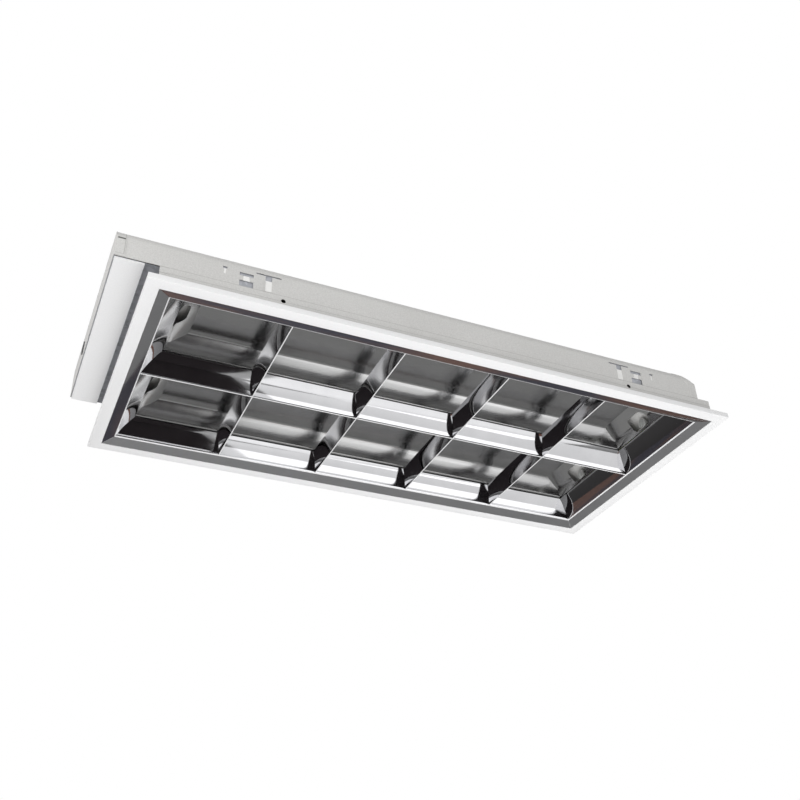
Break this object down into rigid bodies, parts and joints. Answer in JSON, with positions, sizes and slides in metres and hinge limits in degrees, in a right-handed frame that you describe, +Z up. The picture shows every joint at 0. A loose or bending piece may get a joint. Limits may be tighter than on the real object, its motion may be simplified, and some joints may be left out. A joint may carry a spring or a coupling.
{
  "type": "recessed troffer light",
  "caption": "Recessed ceiling troffer with a white trim frame, sheet steel housing, side wiring box, tube lamp holders and a hinged mirror louver.",
  "frame": {"origin": "centre of the trim frame's lower face, the face that rests on the ceiling grid", "axes": "+Z up into the ceiling void, +X along the lamps away from the wiring box, -Y towards the side with the spring catches"},
  "size_m": [1.2551, 0.595, 0.1],
  "materials": {
    "trim_white": "satin",
    "housing_paint": "fine textured",
    "galvanised_steel": "satin",
    "clip_steel": "satin",
    "mirror_aluminium": "mirror polished",
    "reflector_aluminium": "bright",
    "white_plastic": "gloss",
    "rotor_plastic": "matt",
    "gear_paint": "satin",
    "bright_steel": "bright zinc",
    "brass": "satin",
    "grey_plastic": "matt",
    "grey_rubber": "matt",
    "lead_insulation": "satin",
    "earth_insulation": "satin"
  },
  "bodies": {
    "housing": {"ballast": "gear_paint", "ballast_screws": "bright_steel", "base_frame": "housing_paint", "box_side_wall": "housing_paint", "cable_grommet": "grey_rubber", "catch_brackets": "bright_steel", "catch_pins": "bright_steel", "centre_cover": "housing_paint", "earth_lead": "earth_insulation", "earth_nut": "brass", "earth_stud": "bright_steel", "end_cap_left": "housing_paint", "end_cap_right": "housing_paint", "hanger_plates": "clip_steel", "hinge_brackets": "bright_steel", "housing_tray": "housing_paint", "lamp_lead_far_left": "lead_insulation", "lamp_lead_far_right": "lead_insulation", "lamp_lead_near_left": "lead_insulation", "lamp_lead_near_right": "lead_insulation", "lampholder_far_left": "white_plastic", "lampholder_far_right": "white_plastic", "lampholder_near_left": "white_plastic", "lampholder_near_right": "white_plastic", "reflector_end_far_left": "reflector_aluminium", "reflector_end_far_right": "reflector_aluminium", "reflector_end_near_left": "reflector_aluminium", "reflector_end_near_right": "reflector_aluminium", "reflector_far": "reflector_aluminium", "reflector_near": "reflector_aluminium", "supply_lead": "lead_insulation", "terminal_block": "grey_plastic", "trim_frame": "trim_white", "wiring_cover": "trim_white", "wiring_floor": "galvanised_steel"},
    "louver": {"cross_blade_far_1": "mirror_aluminium", "cross_blade_far_2": "mirror_aluminium", "cross_blade_far_3": "mirror_aluminium", "cross_blade_far_4": "mirror_aluminium", "cross_blade_near_1": "mirror_aluminium", "cross_blade_near_2": "mirror_aluminium", "cross_blade_near_3": "mirror_aluminium", "cross_blade_near_4": "mirror_aluminium", "end_reflector_left": "mirror_aluminium", "end_reflector_right": "mirror_aluminium", "hinge_lugs": "mirror_aluminium", "hinge_pins": "bright_steel", "louver_keepers": "mirror_aluminium", "louver_spine": "mirror_aluminium", "side_reflector_far": "mirror_aluminium", "side_reflector_near": "mirror_aluminium"},
    "catch_left": {"catch_left": "bright_steel"},
    "catch_right": {"catch_right": "bright_steel"},
    "rotor_far_left": {"rotor_far_left": "rotor_plastic"},
    "rotor_far_right": {"rotor_far_right": "rotor_plastic"},
    "rotor_near_left": {"rotor_near_left": "rotor_plastic"},
    "rotor_near_right": {"rotor_near_right": "rotor_plastic"}
  },
  "joints": [
    {"name": "louver_hinge", "type": "hinge", "parent": "housing", "child": "louver", "pos_m": [-0.022, 0.262, 0.00901], "axis": [1, 0, 0], "range_deg": [0, 90]},
    {"name": "catch_left_swing", "type": "hinge", "parent": "housing", "child": "catch_left", "pos_m": [-0.43, -0.2768, 0.03], "axis": [-1, 0, 0], "range_deg": [0, 8], "stiffness_Nm_per_rad": 0.05},
    {"name": "catch_right_swing", "type": "hinge", "parent": "housing", "child": "catch_right", "pos_m": [0.386, -0.2768, 0.03], "axis": [-1, 0, 0], "range_deg": [0, 8], "stiffness_Nm_per_rad": 0.05},
    {"name": "rotor_near_left_turn", "type": "hinge", "parent": "housing", "child": "rotor_near_left", "pos_m": [-0.6394, -0.125, 0.068], "axis": [-1, 0, 0], "range_deg": [0, 90]},
    {"name": "rotor_near_right_turn", "type": "hinge", "parent": "housing", "child": "rotor_near_right", "pos_m": [0.5184, -0.125, 0.068], "axis": [1, 0, 0], "range_deg": [0, 90]},
    {"name": "rotor_far_left_turn", "type": "hinge", "parent": "housing", "child": "rotor_far_left", "pos_m": [-0.6394, 0.125, 0.068], "axis": [-1, 0, 0], "range_deg": [0, 90]},
    {"name": "rotor_far_right_turn", "type": "hinge", "parent": "housing", "child": "rotor_far_right", "pos_m": [0.5184, 0.125, 0.068], "axis": [1, 0, 0], "range_deg": [0, 90]}
  ]
}
